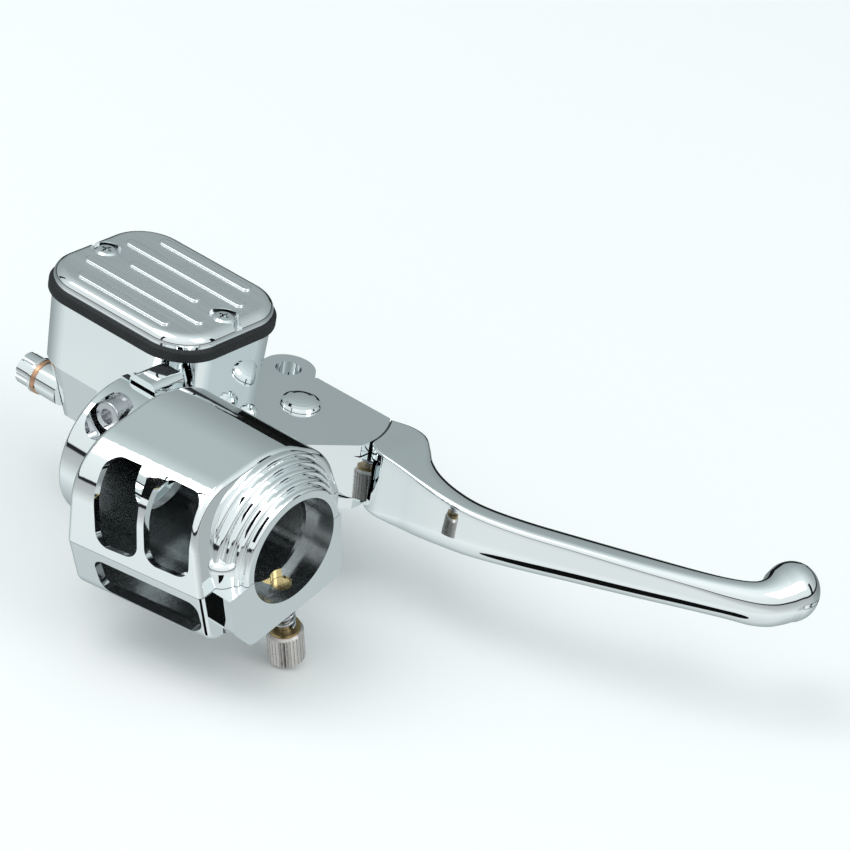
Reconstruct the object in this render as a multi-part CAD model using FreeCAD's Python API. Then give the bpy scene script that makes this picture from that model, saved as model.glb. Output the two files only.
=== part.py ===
"""Front brake master cylinder of a motorcycle, with the switch housing that shares its handlebar.

Millimetres.  The origin is on the handlebar axis, midway along the clamp.  +X runs along the
handlebar towards its end, +Y points forward, away from the rider, and +Z is the normal of the
reservoir cover.  The switch housing is drawn in a frame of its own, turned about the handlebar.
"""
import FreeCAD
import Part
import math
import os

Vector = FreeCAD.Vector
ORIGIN = Vector(0, 0, 0)
X_AXIS = Vector(1, 0, 0)
Y_AXIS = Vector(0, 1, 0)
Z_AXIS = Vector(0, 0, 1)

# Handlebar and clamp
BAR_RADIUS = 12.7
CLAMP_HALF_WIDTH = 9.0
CLAMP_RADIUS = 24.5
CLAMP_SPLIT = 0.5
CLAMP_BOLT_Z = 19.2
CLAMP_SEAT_Y = -7.5
M6_SHANK_RADIUS = 3.0
M6_HEAD_RADIUS = 4.9

# Cylinder bore, parallel to the handlebar
BORE_Y = 34.5
BORE_Z = -9.0
BORE_RADIUS = 7.15
CASTING_RADIUS = 10.4
BORE_END_X = -50.0
BORE_MOUTH_X = -5.5
CASTING_END_X = -53.0
PORT_Y = 23.5
PORT_Z = -9.5
PORT_BOSS_RADIUS = 5.6
PORT_END_X = -60.4
COMPENSATING_PORT_X = -30.5
FEED_PORT_X = -20.0
PISTON_NOSE_X = 5.5
CAM_RADIUS = 4.4

# Reservoir, cover and gasket
RESERVOIR_X = -28.8
RESERVOIR_Y = 39.5
RESERVOIR_HALF_LENGTH = 33.2
RESERVOIR_HALF_WIDTH = 26.0
RESERVOIR_CORNER = 15.0
RESERVOIR_DRAFT = 1.0
RESERVOIR_WALL = 3.0
RESERVOIR_BASE_Z = 3.6
RESERVOIR_TOP_Z = 28.3
GASKET_THICKNESS = 4.0
COVER_HEIGHT = 5.3
COVER_SCREW_SPACING = 52.7
RIB_PITCH = 9.7
RIB_HALF_LENGTHS = (20.0, 26.0, 15.2, 26.0, 20.0)

# Lever bracket: a fork round the pivot, with the mirror ear behind it
PIVOT_X = 14.2
PIVOT_Y = 65.1
BRACKET_TOP_Z = 3.1
FORK_PLATE = 4.0
FORK_HEIGHT = 24.2
BRACKET_ARC = 29.8
MIRROR_X = -3.8
MIRROR_Y = 79.2
MIRROR_HOLE_RADIUS = 4.4
EAR_RADIUS = 9.2
EAR_THICKNESS = 9.0
PIN_RADIUS = 4.0
PIN_HEAD_RADIUS = 6.7
BRACKET_SCREW_X = 7.8
BRACKET_SCREW_Y = 46.6

# Lever
LEVER_GAP = 0.35
LEVER_MID_Z = BRACKET_TOP_Z - FORK_HEIGHT / 2
BUSH_RADIUS = 6.0
BALL_RADIUS = 9.5
# Stations along the blade: centre x, centre y, height, thickness, centre z
BLADE_STATIONS = (
    (57.0, 71.5, 23.2, 19.0, LEVER_MID_Z),
    (66.5, 68.2, 22.2, 12.5, LEVER_MID_Z + 0.2),
    (76.5, 67.0, 20.0, 10.4, LEVER_MID_Z + 0.4),
    (88.0, 68.4, 18.0, 10.2, LEVER_MID_Z + 0.4),
    (103.0, 74.0, 16.4, 10.6, LEVER_MID_Z + 0.4),
    (121.0, 82.6, 15.2, 11.0, LEVER_MID_Z + 0.5),
    (139.0, 91.4, 14.2, 11.0, LEVER_MID_Z + 0.6),
    (155.0, 99.6, 13.2, 10.6, LEVER_MID_Z + 0.8),
    (165.5, 106.6, 12.4, 10.4, LEVER_MID_Z + 1.0),
    (171.5, 114.0, 12.0, 11.0, LEVER_MID_Z + 1.4),
)
BALL_CENTRE = Vector(175.6, 124.6, LEVER_MID_Z + 1.8)

# Switch housing, in the frame turned about the handlebar
HOUSING_TURN = 16.0
HOUSING_IN_X = 11.2
HOUSING_OUT_X = 70.4
PANEL_END_X = 63.0
HOUSING_WALL = 2.8
PARTING_GAP = 0.15
END_ROUNDING = 1.8
GRIP_BORE_RADIUS = 18.4
GRIP_BORE_START_X = 61.4
BULKHEAD_BORE_RADIUS = 15.4
RING_RADII = (29.0, 27.2, 25.3, 23.4, 21.6)
RING_START_X = 57.0
SCREW_COLUMNS = ((60.6, -23.6), (20.5, 20.6))
SCREW_BOSS_RADIUS = 6.0
SCREW_BOSS_TOP_Z = 8.6
THUMBSCREW_X = 63.6
STEM_RADIUS = 2.4
KNOB_RADIUS = 6.1
KNOB_TOP_Z = -38.0
KNOB_BOTTOM_Z = -51.0
KNURL_GROOVES = 32
STEM_SEAT = 8.0
STEM_TOP_Z = -21.9
# Corners of the two switch windows as (x, height up the panel, corner radius)
INNER_WINDOW = ((22.6, -13.8, 5), (38.4, -12.2, 5), (37.2, 4.0, 12), (34.4, 17.6, 5), (18.8, 16.8, 5))
OUTER_WINDOW = ((41.2, -11.4, 5), (57.8, -10.0, 5), (57.2, 6.0, 12), (54.6, 18.2, 5), (38.2, 17.8, 5))
# Corners of the housing section as (y, z, corner radius), at its inboard and outboard ends
UPPER_INBOARD = ((-41.5, 0, 0), (-35.2, 32.5, 20), (9.5, 31.0, 38), (26.5, 16.0, 17), (27.5, 0, 0))
UPPER_OUTBOARD = ((-34.6, 0, 0), (-29.0, 31.8, 18), (10.5, 29.6, 34), (29.0, 15.0, 17), (30.0, 0, 0))
LOWER_INBOARD = ((-41.5, 0, 0), (-39.0, -21.5, 7), (-10.0, -25.5, 20), (18.0, -25.0, 12), (27.0, -10.0, 8),
                 (27.5, 0, 0))
LOWER_OUTBOARD = ((-34.6, 0, 0), (-33.0, -21.0, 7), (-10.0, -25.5, 20), (20.0, -25.0, 10), (29.0, -10.0, 8),
                  (30.0, 0, 0))


def unit(vector):
    """Same direction, length one."""
    return vector * (1.0 / vector.Length)


def outline(points, place):
    """Closed wire of straight runs and tangent corner arcs through (u, v, corner radius) points."""
    corners = []
    for index, (u, v, radius) in enumerate(points):
        corner = Vector(u, v, 0)
        before = Vector(points[index - 1][0], points[index - 1][1], 0)
        after_point = points[(index + 1) % len(points)]
        after = Vector(after_point[0], after_point[1], 0)
        back = unit(before - corner)
        ahead = unit(after - corner)
        half = back.getAngle(ahead) / 2
        if radius <= 0:
            corners.append((corner, corner, corner))
            continue
        reach = radius / math.tan(half)
        centre = corner + unit(back + ahead) * (radius / math.sin(half))
        middle = centre + unit(corner - centre) * radius
        corners.append((corner + back * reach, middle, corner + ahead * reach))
    edges = []
    for index, (start, middle, end) in enumerate(corners):
        if (end - start).Length > 1e-4:
            edges.append(Part.Arc(place(start), place(middle), place(end)).toShape())
        following = corners[(index + 1) % len(corners)][0]
        if (following - end).Length > 1e-4:
            edges.append(Part.LineSegment(place(end), place(following)).toShape())
    return Part.Wire(edges)


def in_plane_xy(z):
    """Places outline coordinates (x, y) at height z."""
    return lambda p: Vector(p.x, p.y, z)


def in_plane_yz(x):
    """Places outline coordinates (y, z) at station x."""
    return lambda p: Vector(x, p.x, p.y)


def in_plane_xz(y):
    """Places outline coordinates (x, z) at depth y."""
    return lambda p: Vector(p.x, y, p.y)


def prism_z(points, low, high):
    """Outline in plan, extruded from low to high."""
    return Part.Face(outline(points, in_plane_xy(low))).extrude(Vector(0, 0, high - low))


def prism_x(points, low, high):
    """Outline in the (y, z) plane, extruded along X."""
    return Part.Face(outline(points, in_plane_yz(low))).extrude(Vector(high - low, 0, 0))


def prism_y(points, low, high):
    """Outline in the (x, z) plane, extruded along Y."""
    return Part.Face(outline(points, in_plane_xz(low))).extrude(Vector(0, high - low, 0))


def rod(radius, start, axis, length):
    """Cylinder from start along axis."""
    return Part.makeCylinder(radius, length, start, axis)


def tube(outer, inner, start, axis, length):
    """Ring or sleeve from start along axis."""
    return rod(outer, start, axis, length).cut(rod(inner, start, axis, length))


def block(x0, x1, y0, y1, z0, z1):
    """Box between two corners."""
    return Part.makeBox(x1 - x0, y1 - y0, z1 - z0, Vector(x0, y0, z0))


def rounded_rectangle(centre_x, centre_y, half_x, half_y, corner):
    """Outline points of a rectangle with round corners."""
    return [(centre_x - half_x, centre_y - half_y, corner), (centre_x + half_x, centre_y - half_y, corner),
            (centre_x + half_x, centre_y + half_y, corner), (centre_x - half_x, centre_y + half_y, corner)]


def revolve(profile, start, axis):
    """Solid of revolution: profile is (radius, height) points, closed down to the axis."""
    side = Y_AXIS if abs(axis.y) < 0.9 else X_AXIS
    points = [start + side * radius + axis * height for radius, height in profile]
    loop = [start + axis * profile[0][1]] + points + [start + axis * profile[-1][1]]
    distinct = [loop[0]]
    for point in loop[1:]:
        if (point - distinct[-1]).Length > 1e-6:
            distinct.append(point)
    face = Part.Face(Part.makePolygon(distinct + [distinct[0]]))
    return face.revolve(start, axis, 360)


def coil_spring(radius, wire_radius, start, axis, length, turns):
    """Round-wire compression spring between two planes square to its axis."""
    rise = length - 2 * wire_radius
    helix = Part.makeHelix(rise / turns, rise, radius)
    section = Part.Wire(Part.makeCircle(wire_radius, Vector(radius, 0, 0), Y_AXIS))
    spring = Part.Wire(helix.Edges).makePipeShell([section], True, True)
    turn = FreeCAD.Rotation(Z_AXIS, axis)
    spring.Placement = FreeCAD.Placement(start + axis * wire_radius, turn)
    return spring


# --- Master cylinder -----------------------------------------------------------------------------

def reservoir_outline(shrink):
    """Plan outline of the reservoir, shrunk evenly."""
    return rounded_rectangle(RESERVOIR_X, RESERVOIR_Y, RESERVOIR_HALF_LENGTH - shrink,
                             RESERVOIR_HALF_WIDTH - shrink, RESERVOIR_CORNER - shrink)


def reservoir_loft(base_shrink, top_shrink, low, high):
    """Drafted rounded-rectangle block."""
    wires = [outline(reservoir_outline(base_shrink), in_plane_xy(low)),
             outline(reservoir_outline(top_shrink), in_plane_xy(high))]
    return Part.makeLoft(wires, True, True)


def screw_places():
    """Plan centres of the two cover screws."""
    return [(RESERVOIR_X + side * COVER_SCREW_SPACING / 2, RESERVOIR_Y) for side in (-1, 1)]


def pivot_arc(radius, degrees):
    """Points at the given bearings on a circle about the lever pivot."""
    points = []
    for bearing in degrees:
        angle = math.radians(bearing)
        points.append(Vector(PIVOT_X + radius * math.cos(angle), PIVOT_Y + radius * math.sin(angle), 0))
    return points


def bracket_plate(low, high):
    """One plate of the fork, from the cylinder's mouth to the arc round the pivot."""
    far, middle, near = pivot_arc(BRACKET_ARC, (37.0, 15.0, -6.0))
    corners = [Vector(6.0, 82.6, 0), far, near, Vector(33.4, 48.0, 0), Vector(23.0, 37.0, 0),
               Vector(10.4, 33.5, 0), Vector(10.4, 22.0, 0), Vector(-8, 22.0, 0), Vector(-8, 58.0, 0),
               Vector(5.6, 66.0, 0)]
    edges = [Part.LineSegment(corners[0], far).toShape(), Part.Arc(far, middle, near).toShape()]
    for start, end in zip(corners[2:], corners[3:] + corners[:1]):
        edges.append(Part.LineSegment(start, end).toShape())
    face = Part.Face(Part.Wire(edges))
    face.translate(Vector(0, 0, low))
    return face.extrude(Vector(0, 0, high - low))


def skirt():
    """Tapered casting between the reservoir floor and the cylinder bore."""
    profile = [(RESERVOIR_Y - 26.5, RESERVOIR_BASE_Z + 2, 0), (RESERVOIR_Y - 26.2, RESERVOIR_BASE_Z, 0),
               (17.4, -14.0, 5), (24.0, -18.9, 4), (40.0, -18.9, 8), (64.5, -3.0, 6),
               (66.0, RESERVOIR_BASE_Z + 2, 0)]
    tapered = prism_x(profile, -62.5, 4.0)
    column = reservoir_loft(9.5, RESERVOIR_DRAFT, -19.5, RESERVOIR_BASE_Z + 1)
    outboard = block(-30, 4.0, 10, 70, -19.5, RESERVOIR_BASE_Z + 1)
    footprint = reservoir_loft(RESERVOIR_DRAFT, RESERVOIR_DRAFT, -19.5, RESERVOIR_BASE_Z + 1)
    return tapered.common(column.fuse(outboard.common(footprint)))


def front_clamp_half():
    """Saddle half of the handlebar clamp with its two threaded lugs."""
    disc = rod(CLAMP_RADIUS, Vector(-CLAMP_HALF_WIDTH, 0, 0), X_AXIS, 2 * CLAMP_HALF_WIDTH)
    web = block(-CLAMP_HALF_WIDTH, CLAMP_HALF_WIDTH, 0, 24, -19, 12)
    lug = prism_y([(-5.5, 8, 0), (5.5, 8, 0), (5.5, 27.5, 2.5), (-5.5, 27.5, 2.5)], 0, 14)
    half = disc.fuse(web).fuse(lug)
    half = half.common(block(-20, 20, CLAMP_SPLIT, 40, -40, 40))
    for sign in (-1, 1):
        half = half.cut(rod(M6_SHANK_RADIUS + 0.05, Vector(0, 0, sign * CLAMP_BOLT_Z), Y_AXIS, 13.0))
    return half


def master_cylinder_body():
    """Reservoir, cylinder, lever fork and front clamp half in one casting."""
    top = BRACKET_TOP_Z
    bottom = BRACKET_TOP_Z - FORK_HEIGHT
    body = reservoir_loft(RESERVOIR_DRAFT, 0, RESERVOIR_BASE_Z, RESERVOIR_TOP_Z)
    body = body.fuse(skirt())
    bore_start = Vector(CASTING_END_X, BORE_Y, BORE_Z)
    body = body.fuse(rod(CASTING_RADIUS, bore_start, X_AXIS, BORE_MOUTH_X - CASTING_END_X))
    boss_start = Vector(PORT_END_X, PORT_Y, PORT_Z)
    body = body.fuse(rod(PORT_BOSS_RADIUS, boss_start, X_AXIS, CASTING_END_X + 2 - PORT_END_X))
    body = body.fuse(front_clamp_half())
    body = body.fuse(bracket_plate(bottom, top))
    ear = rod(EAR_RADIUS, Vector(MIRROR_X, MIRROR_Y, top - EAR_THICKNESS), Z_AXIS, EAR_THICKNESS)
    neck = prism_z([(MIRROR_X - EAR_RADIUS, 60, 0), (6.9, 60, 0), (6.9, 82.4, 0), (0, 80, 0),
                    (MIRROR_X, MIRROR_Y, 0), (MIRROR_X - EAR_RADIUS, MIRROR_Y, 0)], top - EAR_THICKNESS, top)
    foot = block(-14, 6.9, 50, 66, bottom + 3, top)
    body = body.fuse(ear).fuse(neck).fuse(foot)
    slot = prism_z([(BORE_MOUTH_X, 29.0, 0), (60, 29.0, 0), (60, 100, 0), (3.8, 100, 0), (3.8, 69.0, 0),
                    (1.0, 64.0, 0), (1.0, 58.0, 0), (BORE_MOUTH_X, 50.0, 0)],
                   bottom + FORK_PLATE, top - FORK_PLATE)
    body = body.cut(slot)
    body = body.cut(rod(MIRROR_HOLE_RADIUS, Vector(MIRROR_X, MIRROR_Y, bottom - 5), Z_AXIS, 40))
    pivot = Vector(PIVOT_X, PIVOT_Y, bottom - 5)
    body = body.cut(rod(PIN_RADIUS + 0.05, pivot, Z_AXIS, 40))
    counterbore = Vector(PIVOT_X, PIVOT_Y, top - 1.2)
    body = body.cut(rod(PIN_HEAD_RADIUS + 0.2, counterbore, Z_AXIS, 10))
    cavity = reservoir_loft(RESERVOIR_DRAFT + RESERVOIR_WALL, RESERVOIR_WALL, RESERVOIR_BASE_Z + 3,
                            RESERVOIR_TOP_Z + 1)
    posts = []
    for x, y in screw_places():
        posts.append(rod(4.6, Vector(x, y, RESERVOIR_BASE_Z), Z_AXIS, RESERVOIR_TOP_Z - RESERVOIR_BASE_Z))
    for post in posts:
        cavity = cavity.cut(post)
    body = body.cut(cavity)
    for x, y in screw_places():
        body = body.cut(rod(2.05, Vector(x, y, RESERVOIR_TOP_Z - 14), Z_AXIS, 20))
    body = body.cut(rod(BORE_RADIUS, Vector(BORE_END_X, BORE_Y, BORE_Z), X_AXIS, 80))
    body = body.cut(rod(BORE_RADIUS + 1.3, Vector(BORE_MOUTH_X - 3.4, BORE_Y, BORE_Z), X_AXIS, 20))
    body = body.cut(rod(2.6, Vector(PORT_END_X - 1, PORT_Y, PORT_Z), X_AXIS, 17))
    body = body.cut(rod(1.5, Vector(BORE_END_X + 2.5, PORT_Y, PORT_Z), Y_AXIS, 8))
    body = body.cut(rod(0.6, Vector(COMPENSATING_PORT_X, BORE_Y, BORE_Z), Z_AXIS, 20))
    body = body.cut(rod(1.6, Vector(FEED_PORT_X, BORE_Y, BORE_Z), Z_AXIS, 20))
    body = body.cut(rod(2.05, Vector(BRACKET_SCREW_X, BRACKET_SCREW_Y, top - FORK_PLATE - 1), Z_AXIS, 20))
    body = body.cut(rod(BAR_RADIUS, Vector(-30, 0, 0), X_AXIS, 60))
    return body.removeSplitter()


def reservoir_cover():
    """Lid with a crowned rim, five raised ribs and a notched counterbore for each screw."""
    base = RESERVOIR_TOP_Z + GASKET_THICKNESS
    top = base + COVER_HEIGHT
    lid = prism_z(reservoir_outline(-0.2), base, top - 0.6)
    upper = [edge for edge in lid.Edges if edge.BoundBox.ZMin > top - 0.7]
    lid = lid.makeFillet(3.4, upper)
    for row, half_length in enumerate(RIB_HALF_LENGTHS):
        y = RESERVOIR_Y + (row - 2) * RIB_PITCH
        rib = prism_z(rounded_rectangle(RESERVOIR_X, y, half_length, 1.9, 1.85), top - 1.5, top)
        crest = [edge for edge in rib.Edges if edge.BoundBox.ZMin > top - 0.01]
        lid = lid.fuse(rib.makeFillet(0.5, crest))
    for side, (x, y) in zip((-1, 1), screw_places()):
        lid = lid.cut(rod(5.0, Vector(x, y, top - 3.0), Z_AXIS, 5))
        outer = x + side * 12
        lid = lid.cut(block(min(x, outer), max(x, outer), y - 1.7, y + 1.7, top - 3.0, top + 1))
        lid = lid.cut(rod(2.3, Vector(x, y, base - 1), Z_AXIS, 10))
    return lid.removeSplitter()


def cover_gasket():
    """Rubber gasket standing proud of the cover, with the diaphragm hanging inside the reservoir."""
    low = RESERVOIR_TOP_Z
    high = RESERVOIR_TOP_Z + GASKET_THICKNESS
    band = prism_z(reservoir_outline(-1.5), low, high)
    rim = [edge for edge in band.Edges if abs(edge.BoundBox.ZLength) < 1e-6]
    band = band.makeFillet(0.8, rim)
    hang = reservoir_loft(6.2, 5.2, low - 9, low + 1)
    hollow = reservoir_loft(7.7, 6.7, low - 7.5, high + 1)
    for x, y in screw_places():
        clear = rod(6.2, Vector(x, y, low - 20), Z_AXIS, 20)
        hang = hang.cut(clear)
        hollow = hollow.cut(rod(7.7, Vector(x, y, low - 20), Z_AXIS, 40))
    gasket = band.fuse(hang).cut(hollow)
    for x, y in screw_places():
        gasket = gasket.cut(rod(2.3, Vector(x, y, low - 1), Z_AXIS, 10))
    return gasket.removeSplitter()


def cover_screw(x, y):
    """Cross-recessed oval-head screw."""
    seat = RESERVOIR_TOP_Z + GASKET_THICKNESS + COVER_HEIGHT - 3.0
    screw = revolve([(2.0, -15.5), (2.0, 0), (4.1, 0), (4.0, 1.4), (3.0, 2.2), (0, 2.5)],
                    Vector(x, y, seat), Z_AXIS)
    for half_x, half_y in ((2.0, 0.45), (0.45, 2.0)):
        screw = screw.cut(block(x - half_x, x + half_x, y - half_y, y + half_y, seat + 0.9, seat + 4))
    return screw


def cover_screws():
    """Both cover screws."""
    return Part.makeCompound([cover_screw(x, y) for x, y in screw_places()])


def clamp_cap():
    """Rider-side half of the clamp, with an arched pocket over each bolt head."""
    cap = rod(CLAMP_RADIUS, Vector(-CLAMP_HALF_WIDTH, 0, 0), X_AXIS, 2 * CLAMP_HALF_WIDTH)
    rim = [edge for edge in cap.Edges if edge.Curve.TypeId == "Part::GeomCircle"]
    cap = cap.makeFillet(1.2, rim)
    cap = cap.common(block(-20, 20, -40, -CLAMP_SPLIT, -40, 40))
    cap = cap.cut(rod(BAR_RADIUS, Vector(-20, 0, 0), X_AXIS, 40))
    for sign in (-1, 1):
        z = sign * CLAMP_BOLT_Z
        cap = cap.cut(rod(M6_HEAD_RADIUS + 1.3, Vector(0, CLAMP_SEAT_Y, z), Vector(0, -1, 0), 30))
        cap = cap.cut(rod(M6_SHANK_RADIUS + 0.3, Vector(0, -30, z), Y_AXIS, 40))
    return cap.removeSplitter()


def socket_bolt(head_radius, head_height, shank_radius, shank_length, seat, axis):
    """Socket-head cap screw; axis points from the head into the thread."""
    back = axis * -1
    bolt = rod(shank_radius, seat, axis, shank_length)
    head = rod(head_radius, seat, back, head_height)
    far = [edge for edge in head.Edges if (edge.BoundBox.Center - seat - back * head_height).Length < 0.01]
    bolt = bolt.fuse(head.makeFillet(0.6, far))
    hexagon = rod(head_radius * 0.52, seat + back * head_height * 0.4, back, head_height)
    return bolt.cut(hexagon).removeSplitter()


def clamp_bolts():
    """Both clamp bolts."""
    bolts = []
    for sign in (-1, 1):
        seat = Vector(0, CLAMP_SEAT_Y - 1.2, sign * CLAMP_BOLT_Z)
        bolts.append(socket_bolt(M6_HEAD_RADIUS, 6.0, M6_SHANK_RADIUS, 20.0, seat, Y_AXIS))
    return Part.makeCompound(bolts)


def clamp_washers():
    """A flat washer under each clamp bolt head."""
    rings = []
    for sign in (-1, 1):
        start = Vector(0, CLAMP_SEAT_Y - 1.2, sign * CLAMP_BOLT_Z)
        rings.append(tube(M6_HEAD_RADIUS + 0.8, M6_SHANK_RADIUS + 0.15, start, Y_AXIS, 1.2))
    return Part.makeCompound(rings)


def port_bolt():
    """Fluted hexagon bolt that closes the outlet port."""
    start = Vector(PORT_END_X - 1.4, PORT_Y, PORT_Z)
    back = Vector(-1, 0, 0)
    bolt = rod(2.55, start, X_AXIS, 9.0)
    collar = rod(6.2, start, back, 1.2)
    head = rod(5.6, start + back * 1.2, back, 6.0)
    for index in range(6):
        angle = math.radians(60 * index)
        groove = Vector(0, PORT_Y + 6.3 * math.cos(angle), PORT_Z + 6.3 * math.sin(angle))
        groove.x = start.x - 1.2
        head = head.cut(rod(1.35, groove, back, 8))
    return bolt.fuse(collar).fuse(head).removeSplitter()


def port_washer():
    """Sealing washer between the port boss and the bolt."""
    return tube(6.0, 2.9, Vector(PORT_END_X - 1.4, PORT_Y, PORT_Z), X_AXIS, 1.4)


# --- Piston group --------------------------------------------------------------------------------

def piston():
    """Two-land piston whose nose meets the lever cam."""
    back = Vector(-1, 0, 0)
    start = Vector(PISTON_NOSE_X, BORE_Y, BORE_Z)
    profile = [(4.2, 0), (4.6, 0.5), (4.6, 14.6), (7.1, 15.0), (7.1, 17.6), (5.2, 17.6), (5.2, 20.6),
               (7.1, 20.6), (7.1, 23.2), (4.0, 23.2), (4.0, 28.0), (7.1, 28.0), (7.1, 30.6), (2.6, 30.6),
               (2.6, 35.2)]
    return revolve(profile, start, back)


def primary_cup():
    """Rubber cup ahead of the piston's front land."""
    back = Vector(-1, 0, 0)
    start = Vector(PISTON_NOSE_X - 30.7, BORE_Y, BORE_Z)
    cup = revolve([(6.4, 0), (7.1, 3.6), (5.6, 3.6), (5.2, 1.6)], start, back)
    return cup.cut(rod(2.7, start, back, 6))


def secondary_seal():
    """Rubber seal ring in the piston's rear groove."""
    start = Vector(PISTON_NOSE_X - 17.7, BORE_Y, BORE_Z)
    return tube(7.1, 5.25, start, Vector(-1, 0, 0), 2.8)


def return_spring():
    """Piston return spring."""
    start = Vector(BORE_END_X + 0.3, BORE_Y, BORE_Z)
    length = PISTON_NOSE_X - 34.5 - start.x
    return coil_spring(4.2, 0.55, start, X_AXIS, length, 6)


def snap_ring():
    """Retaining ring and stop washer in the mouth of the bore."""
    start = Vector(BORE_MOUTH_X - 3.3, BORE_Y, BORE_Z)
    return tube(BORE_RADIUS + 1.2, 5.0, start, X_AXIS, 1.0)


def dust_boot():
    """Rubber wiper boot round the piston nose."""
    start = Vector(BORE_MOUTH_X - 2.2, BORE_Y, BORE_Z)
    return tube(BORE_RADIUS + 1.2, 4.68, start, X_AXIS, 2.1)


# --- Lever ---------------------------------------------------------------------------------------

def blade_section(index):
    """Rounded-rectangle section square to the blade's centre line at one station."""
    x, y, height, thickness, z = BLADE_STATIONS[index]
    ahead = BLADE_STATIONS[min(index + 1, len(BLADE_STATIONS) - 1)]
    behind = BLADE_STATIONS[max(index - 1, 0)]
    run = unit(Vector(ahead[0] - behind[0], ahead[1] - behind[1], 0))
    across = Vector(-run.y, run.x, 0)
    centre = Vector(x, y, z)
    corner = 0.38 * min(height, thickness)
    points = rounded_rectangle(0, 0, thickness / 2, height / 2, corner)
    return outline(points, lambda p: centre + across * p.x + Z_AXIS * p.y)


def lever_root():
    """Plan-shaped root: cam nose and pivot eye inside the fork, shoulder outside it."""
    far, middle, near = pivot_arc(BRACKET_ARC + 0.5, (37.0, 20.0, 3.0))
    rim = [near, Vector(49.0, 63.6, 0), Vector(56.0, 63.4, 0), Vector(63.0, 62.6, 0), Vector(66.6, 71.0, 0),
           Vector(60.5, 77.6, 0), Vector(54.6, 83.2, 0), Vector(48.6, 86.6, 0), far]
    edges = [Part.Arc(far, middle, near).toShape()]
    for start, end in zip(rim, rim[1:]):
        edges.append(Part.LineSegment(start, end).toShape())
    low = BRACKET_TOP_Z - FORK_HEIGHT + 0.1
    high = BRACKET_TOP_Z - 0.1
    face = Part.Face(Part.Wire(edges))
    face.translate(Vector(0, 0, low))
    head = face.extrude(Vector(0, 0, high - low))
    tongue_low = BRACKET_TOP_Z - FORK_HEIGHT + FORK_PLATE + LEVER_GAP
    tongue_high = BRACKET_TOP_Z - FORK_PLATE - LEVER_GAP
    nose_x = PISTON_NOSE_X + CAM_RADIUS + 0.05
    tongue = prism_z([(nose_x - 3.2, BORE_Y, 0), (nose_x, BORE_Y - CAM_RADIUS + 0.4, 0),
                      (nose_x + 3.6, BORE_Y, 2), (24.5, 52.0, 8), (49.5, 64.2, 2), (47.5, 84.4, 2),
                      (18.0, 75.6, 8), (4.6, 74.8, 9), (4.6, 56.0, 8), (nose_x - 3.0, 42.0, 4)],
                     tongue_low, tongue_high)
    nose = rod(CAM_RADIUS, Vector(nose_x, BORE_Y, tongue_low), Z_AXIS, tongue_high - tongue_low)
    return head, tongue.fuse(nose)


def brake_lever():
    """Lever: root, curved blade and ball end."""
    head, tongue = lever_root()
    sections = [blade_section(index) for index in range(len(BLADE_STATIONS))]
    blade = Part.makeLoft(sections, True, False)
    lever = blade.fuse(head)
    lever = lever.fuse(tongue)
    lever = lever.fuse(Part.makeSphere(BALL_RADIUS, BALL_CENTRE))
    neck_end = Vector(BLADE_STATIONS[-1][0], BLADE_STATIONS[-1][1], BLADE_STATIONS[-1][4])
    neck = Part.makeCone(5.4, 6.4, (BALL_CENTRE - neck_end).Length, neck_end, unit(BALL_CENTRE - neck_end))
    lever = lever.fuse(neck)
    lever = lever.cut(rod(BUSH_RADIUS + 0.02, Vector(PIVOT_X, PIVOT_Y, -40), Z_AXIS, 60))
    return lever.removeSplitter()


def lever_bushing():
    """Bronze bush pressed in the lever's pivot eye."""
    low = BRACKET_TOP_Z - FORK_HEIGHT + FORK_PLATE + 0.2
    high = BRACKET_TOP_Z - FORK_PLATE - 0.2
    return tube(BUSH_RADIUS, PIN_RADIUS + 0.05, Vector(PIVOT_X, PIVOT_Y, low), Z_AXIS, high - low)


def pivot_pin():
    """Domed-head pivot pin with a groove for its clip."""
    seat = Vector(PIVOT_X, PIVOT_Y, BRACKET_TOP_Z - 1.2)
    length = FORK_HEIGHT - 1.2 + 3.2
    radius = PIN_RADIUS
    shank = [(radius, -length), (radius, -length + 2.1), (radius - 0.8, -length + 2.1),
             (radius - 0.8, -length + 3.1), (radius, -length + 3.1), (radius, 0)]
    dome = [(PIN_HEAD_RADIUS, 0), (PIN_HEAD_RADIUS, 2.0), (6.3, 2.6), (5.2, 3.1), (3.6, 3.45), (1.8, 3.65),
            (0, 3.7)]
    return revolve(shank + dome, seat, Z_AXIS)


def pivot_clip():
    """E-clip under the fork."""
    z = BRACKET_TOP_Z - FORK_HEIGHT - 1.0
    clip = tube(7.0, PIN_RADIUS - 0.75, Vector(PIVOT_X, PIVOT_Y, z), Z_AXIS, 0.8)
    return clip.cut(block(PIVOT_X - 2.6, PIVOT_X + 2.6, PIVOT_Y, PIVOT_Y + 12, z - 1, z + 2))


def bracket_screw():
    """Small button-head screw at the foot of the reservoir."""
    seat = Vector(BRACKET_SCREW_X, BRACKET_SCREW_Y, BRACKET_TOP_Z)
    screw = revolve([(2.0, -3.6), (2.0, 0), (3.0, 0), (2.9, 1.2), (2.2, 2.1), (1.1, 2.4)], seat, Z_AXIS)
    return screw.cut(rod(1.1, seat + Vector(0, 0, 1.2), Z_AXIS, 3))


# --- Switch housing ------------------------------------------------------------------------------

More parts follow.
